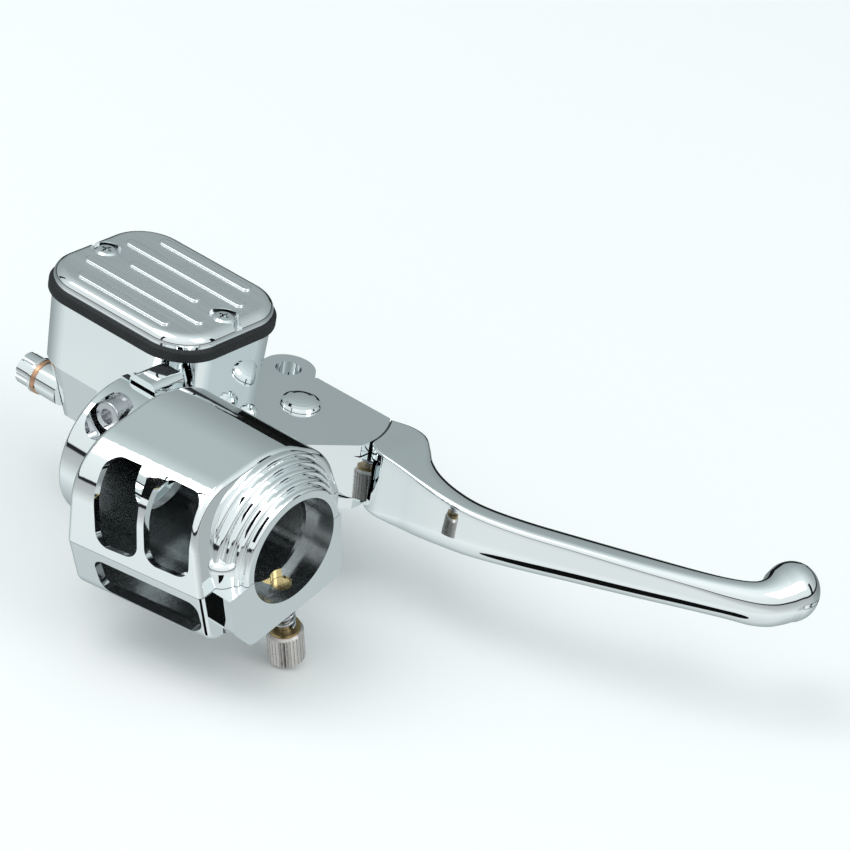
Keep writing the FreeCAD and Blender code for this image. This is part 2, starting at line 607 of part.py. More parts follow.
def inset(points, distance, parting):
    """Section moved inwards by the wall thickness; the parting side moves out past the parting plane."""
    lines = []
    count = len(points)
    area = sum(points[i - 1][0] * points[i][1] - points[i][0] * points[i - 1][1] for i in range(count))
    sign = 1 if area > 0 else -1
    for index in range(count):
        start = Vector(points[index][0], points[index][1], 0)
        end_point = points[(index + 1) % count]
        run = unit(Vector(end_point[0], end_point[1], 0) - start)
        normal = Vector(-run.y, run.x, 0) * sign
        shift = -parting if index == count - 1 else distance
        lines.append((start + normal * shift, run))
    moved = []
    for index, (u, v, radius) in enumerate(points):
        base, along = lines[index - 1]
        other, across = lines[index]
        gap = other - base
        reach = (gap.x * across.y - gap.y * across.x) / (along.x * across.y - along.y * across.x)
        corner = base + along * reach
        moved.append((corner.x, corner.y, max(radius - distance, 0)))
    return moved


def half_shell(inboard, outboard, wall, parting, start_x, end_x):
    """Straight loft between the two end sections, moved inwards by wall."""
    first = inset(inboard, wall, parting)
    last = inset(outboard, wall, parting)
    wires = [outline(first, in_plane_yz(start_x)), outline(last, in_plane_yz(end_x))]
    return Part.makeLoft(wires, True, True)


def round_ends(solid, parting_side):
    """Rounds the edges round both ends of a housing half, except along its parting plane."""
    edges = []
    for edge in solid.Edges:
        box = edge.BoundBox
        at_end = box.XMax < HOUSING_IN_X + 0.01 or box.XMin > PANEL_END_X - 8
        if at_end and box.Center.z * parting_side > 1.0:
            edges.append(edge)
    return solid.makeFillet(END_ROUNDING, edges)


def slanted_trim(offset):
    """Everything outboard of the leaning plane that ends the switch panel."""
    corner = [(PANEL_END_X + offset, -1, 0), (PANEL_END_X - 7.2 + offset, 36, 0), (110, 36, 0), (110, -1, 0)]
    return prism_y(corner, -60, 60)


def window_cut(corners):
    """Switch window, cut square to the panel's leaning face."""
    lean = math.radians(25)
    up = Vector(0, math.sin(lean), math.cos(lean))
    inward = Vector(0, math.cos(lean), -math.sin(lean))
    face = Part.Face(outline(corners, lambda p: X_AXIS * p.x + up * p.y - inward * 60))
    return face.extrude(inward * 36)


def opening_bores():
    """Hollow for the handlebar and the throttle sleeve, from the inboard bulkhead outwards."""
    bores = rod(BAR_RADIUS + 0.15, Vector(0, 0, 0), X_AXIS, 40)
    bores = bores.fuse(rod(GRIP_BORE_RADIUS, Vector(GRIP_BORE_START_X, 0, 0), X_AXIS, 20))
    bores = bores.fuse(rod(BULKHEAD_BORE_RADIUS, Vector(40, 0, 0), X_AXIS, 40))
    return bores.fuse(rod(22.5, Vector(48, 0, 0), X_AXIS, 10.8))


def turn_housing(shape):
    """Turns a shape from the housing's own frame into the object's."""
    shape.rotate(ORIGIN, X_AXIS, HOUSING_TURN)
    return shape


def stepped_rings():
    """Round nose of the upper half, stepping down to the grip opening."""
    step = (HOUSING_OUT_X - RING_START_X) / len(RING_RADII)
    points = [(RING_START_X - 9, 0, 0), (RING_START_X - 9, RING_RADII[0], 0)]
    for index, radius in enumerate(RING_RADII):
        end = RING_START_X + (index + 1) * step
        points.append((end, radius, 1.0))
        if index + 1 < len(RING_RADII):
            points.append((end, RING_RADII[index + 1], 0.4))
    points.append((HOUSING_OUT_X, 0, 0))
    face = Part.Face(outline(points, in_plane_xy(0)))
    return face.revolve(ORIGIN, X_AXIS, 360)


def upper_switch_housing():
    """Upper half: switch panel with two windows, then stepped rings round the grip opening."""
    outer = half_shell(UPPER_INBOARD, UPPER_OUTBOARD, 0, 0, HOUSING_IN_X, PANEL_END_X).cut(slanted_trim(0))
    outer = round_ends(outer, 1.0)
    outer = outer.fuse(stepped_rings())
    column_x, column_y = SCREW_COLUMNS[0]
    boss = rod(SCREW_BOSS_RADIUS, Vector(column_x, column_y + 1.4, -1), Z_AXIS, SCREW_BOSS_TOP_Z + 1)
    crown = [edge for edge in boss.Edges if edge.BoundBox.ZMin > SCREW_BOSS_TOP_Z - 0.01]
    outer = outer.fuse(boss.makeFillet(2.6, crown))
    cavity = half_shell(UPPER_INBOARD, UPPER_OUTBOARD, HOUSING_WALL, 1, HOUSING_IN_X + HOUSING_WALL,
                        PANEL_END_X).cut(slanted_trim(-HOUSING_WALL))
    for x, y in SCREW_COLUMNS:
        cavity = cavity.cut(rod(4.6, Vector(x, y, -2), Z_AXIS, 14))
    shell = outer.cut(cavity).cut(opening_bores())
    shell = shell.cut(window_cut(INNER_WINDOW))
    shell = shell.cut(window_cut(OUTER_WINDOW))
    for x, y in SCREW_COLUMNS:
        shell = shell.cut(rod(1.75, Vector(x, y, -5), Z_AXIS, 13))
    shell = shell.common(block(0, 90, -60, 60, PARTING_GAP / 2, 60))
    return turn_housing(shell.removeSplitter())


def lower_switch_housing():
    """Lower half: wide window, thumbscrew boss and two screw columns."""
    outer = half_shell(LOWER_INBOARD, LOWER_OUTBOARD, 0, 0, HOUSING_IN_X, PANEL_END_X)
    outer = round_ends(outer, -1.0)
    nose = prism_x([(-29.5, 0, 0), (-28.6, -15.0, 4), (-22.0, -25.2, 5), (20.6, -25.2, 5), (22.0, 0, 0)],
                   PANEL_END_X - 6, HOUSING_OUT_X)
    outer = outer.fuse(nose)
    cavity = half_shell(LOWER_INBOARD, LOWER_OUTBOARD, HOUSING_WALL, 1, HOUSING_IN_X + HOUSING_WALL,
                        PANEL_END_X - HOUSING_WALL)
    for x, y in SCREW_COLUMNS:
        cavity = cavity.cut(rod(4.6, Vector(x, y, -30), Z_AXIS, 40))
    shell = outer.cut(cavity).cut(opening_bores())
    window = prism_y([(20.6, -3.6, 4), (60.6, -3.6, 4), (61.6, -14.0, 5), (57.0, -18.0, 4), (22.0, -17.6, 5)],
                     -60, -26)
    shell = shell.cut(window)
    for x, y in SCREW_COLUMNS:
        shell = shell.cut(rod(3.7, Vector(x, y, -40), Z_AXIS, 22))
        shell = shell.cut(rod(2.1, Vector(x, y, -40), Z_AXIS, 60))
    shell = shell.cut(rod(STEM_RADIUS + 0.05, Vector(THUMBSCREW_X, 0, -40), Z_AXIS, 40))
    shell = shell.cut(rod(3.4, Vector(THUMBSCREW_X, 0, -21.8), Z_AXIS, 20))
    shell = shell.cut(rod(2.5, Vector(36.0, -14.0, -40), Z_AXIS, 20))
    shell = shell.common(block(0, 90, -60, 60, -60, -PARTING_GAP / 2))
    return turn_housing(shell.removeSplitter())


def housing_screws():
    """The two screws that draw the housing halves together, entered from below."""
    screws = []
    for x, y in SCREW_COLUMNS:
        seat = Vector(x, y, -18.0)
        screws.append(socket_bolt(3.3, 3.4, 1.7, 25.0, seat, Z_AXIS))
    return turn_housing(Part.makeCompound(screws))


def friction_knob():
    """Knob with a straight knurl, pressed on the thumbscrew's stem."""
    height = KNOB_TOP_Z - KNOB_BOTTOM_Z
    profile = [(5.2, 0), (KNOB_RADIUS, 0.9), (KNOB_RADIUS, height - 1.0), (5.4, height)]
    knob = revolve(profile, Vector(THUMBSCREW_X, 0, KNOB_BOTTOM_Z), Z_AXIS)
    for index in range(KNURL_GROOVES):
        angle = 2 * math.pi * index / KNURL_GROOVES
        centre = Vector(THUMBSCREW_X + (KNOB_RADIUS + 0.1) * math.cos(angle),
                        (KNOB_RADIUS + 0.1) * math.sin(angle), KNOB_BOTTOM_Z - 1)
        knob = knob.cut(rod(0.33, centre, Z_AXIS, height + 1))
    socket = rod(STEM_RADIUS + 0.02, Vector(THUMBSCREW_X, 0, KNOB_TOP_Z - STEM_SEAT - 0.05), Z_AXIS, 20)
    return turn_housing(knob.cut(socket))


def friction_stem():
    """Threaded stem of the thumbscrew, from the knob up to the friction shoe."""
    low = KNOB_TOP_Z - STEM_SEAT
    stem = rod(STEM_RADIUS, Vector(THUMBSCREW_X, 0, low), Z_AXIS, STEM_TOP_Z - low)
    ends = [edge for edge in stem.Edges if edge.BoundBox.ZLength < 0.01]
    return turn_housing(stem.makeChamfer(0.3, ends))


def friction_washer():
    """Brass-toned washer between the knob and its spring."""
    return turn_housing(tube(5.2, 2.5, Vector(THUMBSCREW_X, 0, KNOB_TOP_Z), Z_AXIS, 1.0))


def friction_shoe():
    """Pad that the thumbscrew pushes against the throttle sleeve."""
    return turn_housing(rod(3.3, Vector(THUMBSCREW_X, 0, -21.8), Z_AXIS, 3.0))


def friction_spring():
    """Spring that stops the thumbscrew from turning by itself."""
    start = Vector(THUMBSCREW_X, 0, KNOB_TOP_Z + 1.1)
    length = -25.4 - start.z
    return turn_housing(coil_spring(3.3, 0.5, start, Z_AXIS, length, 4))


NODES = {
    "master_cylinder_body": master_cylinder_body,
    "reservoir_cover": reservoir_cover,
    "cover_gasket": cover_gasket,
    "cover_screws": cover_screws,
    "clamp_cap": clamp_cap,
    "clamp_bolts": clamp_bolts,
    "clamp_washers": clamp_washers,
    "port_bolt": port_bolt,
    "port_washer": port_washer,
    "piston": piston,
    "primary_cup": primary_cup,
    "secondary_seal": secondary_seal,
    "return_spring": return_spring,
    "snap_ring": snap_ring,
    "dust_boot": dust_boot,
    "brake_lever": brake_lever,
    "lever_bushing": lever_bushing,
    "pivot_pin": pivot_pin,
    "pivot_clip": pivot_clip,
    "bracket_screw": bracket_screw,
    "upper_switch_housing": upper_switch_housing,
    "lower_switch_housing": lower_switch_housing,
    "housing_screws": housing_screws,
    "friction_knob": friction_knob,
    "friction_stem": friction_stem,
    "friction_washer": friction_washer,
    "friction_shoe": friction_shoe,
    "friction_spring": friction_spring,
}

os.makedirs("parts", exist_ok=True)
for name, build in NODES.items():
    shape = build()
    print(name, "valid" if shape.isValid() else "INVALID", len(shape.Solids), round(shape.Volume, 1))
    shape.exportStep("parts/" + name + ".step")
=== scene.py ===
"""Looks of the chromed brake master cylinder and its switch housing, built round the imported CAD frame."""
import bmesh
import bpy
import math
from mathutils import Matrix, Vector


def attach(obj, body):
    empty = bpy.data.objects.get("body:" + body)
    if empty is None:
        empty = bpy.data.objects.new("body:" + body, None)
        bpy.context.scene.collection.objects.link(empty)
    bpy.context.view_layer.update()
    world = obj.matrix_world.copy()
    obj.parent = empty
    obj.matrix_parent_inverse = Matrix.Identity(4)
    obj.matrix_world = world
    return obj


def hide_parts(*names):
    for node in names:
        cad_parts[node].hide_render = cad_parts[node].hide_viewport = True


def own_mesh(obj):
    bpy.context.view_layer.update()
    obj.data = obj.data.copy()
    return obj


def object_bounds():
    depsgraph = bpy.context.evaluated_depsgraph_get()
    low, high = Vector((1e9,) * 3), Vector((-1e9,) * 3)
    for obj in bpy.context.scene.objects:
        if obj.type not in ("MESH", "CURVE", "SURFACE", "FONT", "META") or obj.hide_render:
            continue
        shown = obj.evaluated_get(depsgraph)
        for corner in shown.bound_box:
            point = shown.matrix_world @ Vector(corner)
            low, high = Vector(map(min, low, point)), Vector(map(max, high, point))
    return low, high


# Camera: a long lens from the rider's side, above and outboard of the object
VIEW_AZIMUTH = 35.5
VIEW_ELEVATION = 30.0
VIEW_ROLL = 9.95
VIEW_DISTANCE = 1.5
VIEW_AIM = Vector((0.0665, 0.0630, 0.0219))
LENS = 198.8

# Studio
FLOOR_HALF_SIZE = 6.0
FLOOR_DROP = 0.0006
TENT_FRONT = (0.58, -0.81, 0.0)
# Light of the tent by how far a direction points to its open front, from -1 behind to 1
TENT_DEPTH = ((-1.0, (0.30, 0.345, 0.35)), (-0.55, (0.42, 0.48, 0.485)), (-0.15, (0.62, 0.69, 0.70)),
              (0.10, (0.80, 0.87, 0.875)), (0.45, (0.86, 0.915, 0.92)), (1.0, (0.88, 0.93, 0.93)))
# Share of that light by the sine of the elevation
TENT_HEIGHT = ((-1.0, (0.80, 0.80, 0.80)), (-0.60, (1.0, 1.0, 1.0)), (-0.30, (0.62, 0.62, 0.62)),
               (-0.06, (0.52, 0.52, 0.52)), (-0.035, (0.03, 0.03, 0.03)), (0.045, (0.02, 0.02, 0.02)),
               (0.07, (0.95, 0.95, 0.95)), (0.45, (1.0, 1.0, 1.0)), (0.75, (1.12, 1.12, 1.12)),
               (1.0, (1.12, 1.12, 1.12)))
CARD_LEVEL = 0.01
# Soft lights: azimuth and elevation in degrees, distance, width, height, power
SOFTBOXES = {
    "key": (-35, 62, 2.2, 1.5, 1.5, 17),
    "fill": (95, 40, 2.4, 1.0, 1.4, 7),
}
# Upright cards that face the origin: place, width, height
CARDS = {
    "card_left": ((-1.50, -0.40, 0.69), 0.20, 0.9),
    "card_right": ((1.35, 0.95, 0.41), 0.26, 0.9),
    "card_back": ((-0.97, 1.36, 0.03), 1.4, 0.62),
}

# Lever, in millimetres. Each station along the arm has its rider-side and far-side edge in plan, half the
# height, the rise of its centre over the fork's middle, the corner sizes (across, up) at the top rider side,
# top far side and bottom, and how far the section bows outboard.
MM = 0.001
PIVOT = (14.2, 65.1)
ARM_START = 30.3
ARM_OVERLAP = 0.05
FORK_MIDDLE_Z = -9.0
STATIONS = (
    ((44.5, 66.7), (38.4, 83.3), 12.0, 0.0, (0.8, 0.8), (1.0, 1.0), (1.0, 1.0), 1.3),
    ((47.6, 64.6), (45.2, 85.9), 12.0, 0.0, (0.8, 0.8), (1.4, 1.2), (1.2, 1.6), 0.9),
    ((51.6, 63.5), (51.8, 85.6), 12.0, 0.0, (0.8, 0.8), (2.4, 1.4), (1.6, 2.6), 0.4),
    ((56.4, 63.2), (57.4, 81.2), 11.8, 0.0, (0.8, 0.8), (3.0, 1.6), (2.0, 4.0), 0.1),
    ((62.2, 62.8), (62.6, 76.6), 11.4, 0.1, (0.9, 0.9), (4.4, 2.0), (2.6, 5.2), 0.0),
    ((69.4, 62.1), (69.6, 73.4), 10.8, 0.3, (1.1, 1.1), (6.0, 2.6), (3.2, 6.2), 0.0),
    ((78.6, 62.1), (78.4, 72.4), 9.9, 0.4, (1.4, 1.3), (7.0, 3.0), (3.8, 7.0), 0.0),
    ((90.4, 63.8), (88.0, 73.8), 9.0, 0.4, (1.8, 1.6), (7.2, 3.3), (4.2, 7.2), 0.0),
    ((105.4, 69.3), (101.0, 79.1), 8.2, 0.4, (2.2, 1.8), (7.2, 3.6), (4.4, 7.2), 0.0),
    ((123.4, 77.8), (118.6, 87.6), 7.6, 0.5, (2.4, 2.0), (7.2, 3.8), (4.6, 7.0), 0.0),
    ((141.3, 86.4), (136.7, 96.4), 7.1, 0.6, (2.8, 2.4), (7.0, 4.0), (4.8, 6.8), 0.0),
    ((157.4, 94.9), (152.4, 104.3), 6.8, 0.6, (3.4, 3.2), (6.6, 4.6), (4.9, 6.7), 0.0),
    ((168.0, 101.2), (161.8, 109.6), 6.9, 0.3, (4.2, 4.6), (5.6, 5.4), (5.2, 6.9), 0.0),
    ((175.6, 106.2), (167.1, 113.7), 7.5, 0.1, (5.2, 5.8), (5.7, 6.4), (5.7, 7.5), 0.0),
    ((180.3, 111.5), (168.0, 117.2), 8.3, 0.3, (6.7, 7.8), (6.7, 8.0), (6.7, 8.3), 0.0),
    ((183.2, 117.2), (166.6, 120.9), 9.2, 0.9, (8.4, 9.1), (8.4, 9.1), (8.4, 9.2), 0.0),
)
RINGS_PER_STATION = 8
CORNER_STEPS = 12
SIDE_STEPS = 7
# Ball at the arm's end: its rings start beside the last station and close at the tip
BALL_CENTRE = (175.6, 124.6)
BALL_RADIUS = 9.49
BALL_TALL = 1.06
BALL_RISE = 1.2
BALL_HEADING = 78.0
BALL_FIRST_ANGLE = 76.0
BALL_RINGS = 24


# --- Node helpers --------------------------------------------------------------------------------

class Shader:
    """A material's node tree, with short calls for the nodes used here."""

    def __init__(self, name):
        self.material = bpy.data.materials.new(name)
        self.material.use_nodes = True
        self.tree = self.material.node_tree
        self.surface = self.tree.nodes["Principled BSDF"]
        self.place = self.tree.nodes.new("ShaderNodeTexCoord").outputs["Object"]

    def node(self, kind, **settings):
        made = self.tree.nodes.new(kind)
        for key, value in settings.items():
            setattr(made, key, value)
        return made

    def link(self, source, target):
        self.tree.links.new(source, target)

    def put(self, socket, value):
        """Links an output to a shader socket, or sets a plain value on it."""
        target = self.surface.inputs[socket]
        if isinstance(value, bpy.types.NodeSocket):
            self.link(value, target)
        else:
            target.default_value = value

    def stretched(self, scale):
        """Object coordinates scaled along each axis."""
        mapping = self.node("ShaderNodeMapping")
        mapping.inputs["Scale"].default_value = scale
        self.link(self.place, mapping.inputs["Vector"])
        return mapping.outputs["Vector"]

    def noise(self, scale, detail=3.0, roughness=0.5, vector=None):
        made = self.node("ShaderNodeTexNoise")
        made.inputs["Scale"].default_value = scale
        made.inputs["Detail"].default_value = detail
        made.inputs["Roughness"].default_value = roughness
        self.link(vector or self.place, made.inputs["Vector"])
        return made.outputs["Fac"]

    def spread(self, value, low, high, from_low=0.3, from_high=0.7):
        """Maps a value's working range to low..high, clamped."""
        made = self.node("ShaderNodeMapRange")
        made.inputs["From Min"].default_value = from_low
        made.inputs["From Max"].default_value = from_high
        made.inputs["To Min"].default_value = low
        made.inputs["To Max"].default_value = high
        self.link(value, made.inputs["Value"])
        return made.outputs["Result"]

    def colours(self, value, dark, light):
        ramp = self.node("ShaderNodeValToRGB")
        ramp.color_ramp.elements[0].color = (*dark, 1)
        ramp.color_ramp.elements[1].color = (*light, 1)
        self.link(value, ramp.inputs["Fac"])
        return ramp.outputs["Color"]

    def calc(self, operation, a, b):
        made = self.node("ShaderNodeMath", operation=operation)
        for index, value in enumerate((a, b)):
            if isinstance(value, bpy.types.NodeSocket):
                self.link(value, made.inputs[index])
            else:
                made.inputs[index].default_value = value
        return made.outputs["Value"]

    def bump(self, height, strength, distance):
        """Adds one bump on top of any the shader already has."""
        made = self.node("ShaderNodeBump")
        made.inputs["Distance"].default_value = distance
        if isinstance(strength, bpy.types.NodeSocket):
            self.link(strength, made.inputs["Strength"])
        else:
            made.inputs["Strength"].default_value = strength
        self.link(height, made.inputs["Height"])
        target = self.surface.inputs["Normal"]
        if target.is_linked:
            self.link(target.links[0].from_socket, made.inputs["Normal"])
        self.link(made.outputs["Normal"], target)

    def blend(self, share, first, second):
        """First colour where share is 0, second where it is 1."""
        made = self.node("ShaderNodeMix", data_type="RGBA")
        self.link(share, made.inputs["Factor"])
        self.link(first, made.inputs["A"])
        self.link(second, made.inputs["B"])
        return made.outputs["Result"]

    def facing_bar(self):
        """0 to 1 as the surface turns to face the handlebar axis, which is the X axis."""
        outward = self.node("ShaderNodeVectorMath", operation="NORMALIZE")
        self.link(self.stretched((0.0, 1.0, 1.0)), outward.inputs[0])
        facing = self.node("ShaderNodeVectorMath", operation="DOT_PRODUCT")
        self.link(outward.outputs["Vector"], facing.inputs[0])
        self.link(self.node("ShaderNodeNewGeometry").outputs["Normal"], facing.inputs[1])
        return self.spread(facing.outputs["Value"], 1.0, 0.0, -0.45, -0.10)

    def facing_up(self, start, end):
        """0 to 1 as the surface turns to face straight up."""
        parts = self.node("ShaderNodeSeparateXYZ")
        self.link(self.node("ShaderNodeNewGeometry").outputs["Normal"], parts.inputs["Vector"])
        return self.spread(parts.outputs["Z"], 0.0, 1.0, start, end)


# --- Materials -----------------------------------------------------------------------------------

def chrome(name, dark=(0.84, 0.875, 0.885), light=(0.93, 0.955, 0.96), clean=0.018, hazed=0.05,
           unplated_and_shaded_inside=False):
    """Mirror plate on a metal casting: faint waviness from the casting, and fine wiping marks. With the
    inside option, faces turned to the handlebar axis get rougher unplated metal, darkened as painted shade.
    """
    shader = Shader(name)
    shader.put("Metallic", 1.0)
    plate = shader.colours(shader.noise(22, 3), dark, light)
    haze = shader.noise(60, 4, 0.6)
    wiping = shader.noise(900, 2, 0.5, shader.stretched((1.0, 0.25, 1.0)))
    rough = shader.spread(shader.calc("MULTIPLY", haze, wiping), clean, hazed, 0.15, 0.42)
    if unplated_and_shaded_inside:
        # Painted shade: faces inside the shell get a darker colour, over rougher unplated metal with its own
        # grain.
        inside = shader.facing_bar()
        cast_and_shade = shader.colours(shader.noise(300, 5, 0.65), (0.17, 0.18, 0.185), (0.40, 0.42, 0.425))
        plate = shader.blend(inside, plate, cast_and_shade)
        rough = shader.calc("ADD", rough, shader.calc("MULTIPLY", inside, 0.20))
        shader.bump(shader.noise(500, 4), shader.calc("MULTIPLY", inside, 0.25), 0.0002)
    shader.put("Base Color", plate)
    shader.put("Roughness", rough)
    shader.bump(shader.noise(38, 1), 0.10, 0.00035)
    shader.bump(wiping, 0.012, 0.00005)
    return shader.material


def shaded_raw_casting(name):
    """Unpolished metal where the plating is thin, its colour darkened near to black as painted shade, as
    inside the lever's fork.
    """
    shader = Shader(name)
    shader.put("Metallic", 0.85)
    grain = shader.noise(420, 5, 0.65)
    # Near-black colour: painted shade where the arm's end sits in the lever's fork.
    shader.put("Base Color", shader.colours(grain, (0.035, 0.038, 0.040), (0.13, 0.14, 0.145)))
    shader.put("Roughness", shader.spread(shader.noise(150, 4), 0.34, 0.52))
    shader.bump(grain, 0.25, 0.00015)
    return shader.material


def satin_cover(name):
    """Lid: brushed along its ribs on top, polished round its crowned rim."""
    shader = Shader(name)
    shader.put("Metallic", 1.0)
    top = shader.facing_up(0.80, 0.97)
    lines = shader.noise(420, 3, 0.6, shader.stretched((0.035, 1.0, 1.0)))
    cloud = shader.noise(45, 3)
    shader.put("Base Color", shader.colours(cloud, (0.80, 0.83, 0.84), (0.90, 0.92, 0.93)))
    brushed = shader.spread(lines, 0.20, 0.34)
    shader.put("Roughness", shader.calc("MAXIMUM", shader.calc("MULTIPLY", brushed, top), 0.03))
    shader.bump(lines, shader.calc("MULTIPLY", top, 0.16), 0.00006)
    shader.bump(shader.noise(40, 1), 0.05, 0.0003)
    return shader.material


def rubber(name, dark, light, grain=1400.0, low=0.52, high=0.72):
    """Moulded rubber with a fine matt grain."""
    shader = Shader(name)
    fine = shader.noise(grain, 3, 0.6)
    shader.put("Base Color", shader.colours(shader.noise(160, 4), dark, light))
    shader.put("Roughness", shader.spread(fine, low, high))
    shader.put("Specular IOR Level", 0.35)
    shader.bump(fine, 0.25, 0.00008)
    return shader.material


def turned_metal(name, dark, light, low, high, axis_scale=(1.0, 1.0, 1.0), lines=700.0, strength=0.15):
    """Machined or drawn metal with fine lines."""
    shader = Shader(name)
    shader.put("Metallic", 1.0)
    marks = shader.noise(lines, 3, 0.6, shader.stretched(axis_scale))
    shader.put("Base Color", shader.colours(shader.noise(120, 3), dark, light))
    shader.put("Roughness", shader.spread(marks, low, high))
    shader.bump(marks, strength, 0.00005)
    return shader.material


def paint(node, material):
    """Gives a carried-over CAD node its material."""
    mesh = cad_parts[node].data
    if not mesh.materials:
        mesh.materials.append(material)
    for index in range(len(mesh.materials)):
        mesh.materials[index] = material


def paint_nodes():
    """One material for each group of CAD nodes that share a finish."""
    casting = chrome("chrome_casting")
    bright = chrome("chrome_fastener", clean=0.03, hazed=0.10)
    steel = turned_metal("fastener_steel", (0.52, 0.53, 0.55), (0.68, 0.69, 0.71), 0.16, 0.30)
    knob = turned_metal("knob_nickel", (0.60, 0.555, 0.53), (0.74, 0.70, 0.68), 0.22, 0.36, (1, 1, 0.1), 900)
    brass = turned_metal("shoe_brass", (0.60, 0.45, 0.20), (0.76, 0.60, 0.32), 0.20, 0.34)
    dull_brass = turned_metal("washer_brass", (0.16, 0.11, 0.06), (0.62, 0.46, 0.22), 0.24, 0.40, lines=260.0)
    copper = turned_metal("washer_copper", (0.60, 0.33, 0.20), (0.78, 0.48, 0.33), 0.24, 0.40)
    alloy = turned_metal("piston_alloy", (0.62, 0.64, 0.66), (0.76, 0.78, 0.80), 0.20, 0.32, (1, 0.1, 0.1))
    bronze = turned_metal("bush_bronze", (0.48, 0.35, 0.17), (0.70, 0.53, 0.29), 0.30, 0.46)
    wire = turned_metal("spring_steel", (0.42, 0.43, 0.45), (0.60, 0.61, 0.63), 0.18, 0.32)
    seal = rubber("cup_rubber", (0.020, 0.018, 0.018), (0.045, 0.040, 0.040))
    band = rubber("gasket_rubber", (0.008, 0.009, 0.010), (0.022, 0.024, 0.026))
    # Housing shells: chrome outside, darkened inside as painted shade.
    shell = chrome("chrome_shell", unplated_and_shaded_inside=True)
    groups = {
        casting: ("master_cylinder_body", "clamp_cap", "brake_lever"),
        shell: ("upper_switch_housing", "lower_switch_housing"),
        bright: ("cover_screws", "pivot_pin", "bracket_screw", "port_bolt"),
        steel: ("clamp_bolts", "clamp_washers", "snap_ring", "pivot_clip", "housing_screws", "friction_stem"),
        knob: ("friction_knob",),
        brass: ("friction_shoe",),
        dull_brass: ("friction_washer",),
        copper: ("port_washer",),
        alloy: ("piston",),
        bronze: ("lever_bushing",),
        wire: ("return_spring", "friction_spring"),
        seal: ("primary_cup", "secondary_seal", "dust_boot"),
        band: ("cover_gasket",),
        satin_cover("satin_cover"): ("reservoir_cover",),
    }
    for material, nodes in groups.items():
        for node in nodes:
            paint(node, material)
    return casting


# --- Lever ---------------------------------------------------------------------------------------

def curve_through(values, share):
    """Catmull-Rom value at share (0 to 1) along evenly counted values."""
    last = len(values) - 1
    index = min(int(share * last), last - 1)
    t = share * last - index
    p0, p1 = values[max(index - 1, 0)], values[index]
    p2, p3 = values[index + 1], values[min(index + 2, last)]
    return 0.5 * (2 * p1 + (p2 - p0) * t + (2 * p0 - 5 * p1 + 4 * p2 - p3) * t * t
                  + (3 * p1 - p0 - 3 * p2 + p3) * t ** 3)


def arm_section(half_wide, half_high, corners):
    """Section points (across, up), from the top rider-side corner round by the far side to the bottom."""
    sides = ((1, 1), (-1, 1), (-1, -1), (1, -1))
    points = []
    for quarter, ((side_u, side_v), (reach_u, reach_v)) in enumerate(zip(sides, corners)):
        for step in range(CORNER_STEPS + 1):
            angle = math.pi / 2 * (quarter + step / CORNER_STEPS)
            points.append((side_u * (half_wide - reach_u) + reach_u * math.cos(angle),
                           side_v * (half_high - reach_v) + reach_v * math.sin(angle)))
    full = []
    for index, point in enumerate(points):
        full.append(point)
        following = points[(index + 1) % len(points)]
        if index % (CORNER_STEPS + 1) == CORNER_STEPS:
            for step in range(1, SIDE_STEPS):
                share = step / SIDE_STEPS
                full.append((point[0] + (following[0] - point[0]) * share,
                             point[1] + (following[1] - point[1]) * share))
    return full


def arm_rings(middle_z):
    """Rings of points along the arm, then round the ball, in metres."""
    columns = list(zip(*[(*near, *far, high, rise, *top, *back, *low, bow)
                         for near, far, high, rise, top, back, low, bow in STATIONS]))
    count = (len(STATIONS) - 1) * RINGS_PER_STATION
    rings = []
    for index in range(count + 1):
        near_x, near_y, far_x, far_y, high, rise, *reaches, bow = [
            curve_through(column, index / count) for column in columns]
        near = Vector((near_x, near_y))
        far = Vector((far_x, far_y))
        across = (near - far).normalized()
        ahead = Vector((-across.y, across.x))
        half_wide = (near - far).length / 2
        corners = (reaches[0:2], reaches[2:4], reaches[4:6], reaches[4:6])
        ring = []
        for u, v in arm_section(half_wide, high, corners):
            plan = (near + far) / 2 + across * u + ahead * bow * (1 - (u / half_wide) ** 2)
            ring.append(Vector((plan.x * MM, plan.y * MM, middle_z + (rise + v) * MM)))
        rings.append(ring)
    heading = math.radians(BALL_HEADING)
    ahead = Vector((math.cos(heading), math.sin(heading)))
    across = Vector((ahead.y, -ahead.x))
    for index in range(BALL_RINGS):
        angle = math.radians(BALL_FIRST_ANGLE + (180 - BALL_FIRST_ANGLE) * index / BALL_RINGS)
        radius = BALL_RADIUS * math.sin(angle)
        ring = []
        tall = radius * BALL_TALL
        for u, v in arm_section(radius, tall, ((radius, tall),) * 4):
            plan = Vector(BALL_CENTRE) - ahead * BALL_RADIUS * math.cos(angle) + across * u
            ring.append(Vector((plan.x * MM, plan.y * MM, middle_z + (BALL_RISE + v) * MM)))
        rings.append(ring)
    return rings


def lever_arm(middle_z):
    """Closed smooth mesh of the arm, from the fork's arc to the ball's far end."""
    rings = arm_rings(middle_z)
    size = len(rings[0])
    points = [point for ring in rings for point in ring]
    faces = [tuple(range(size))]
    for row in range(len(rings) - 1):
        for index in range(size):
            ahead = (index + 1) % size
            faces.append((row * size + index, (row + 1) * size + index, (row + 1) * size + ahead,
                          row * size + ahead))
    faces.append(tuple(reversed(range((len(rings) - 1) * size, len(rings) * size))))
    return points, faces


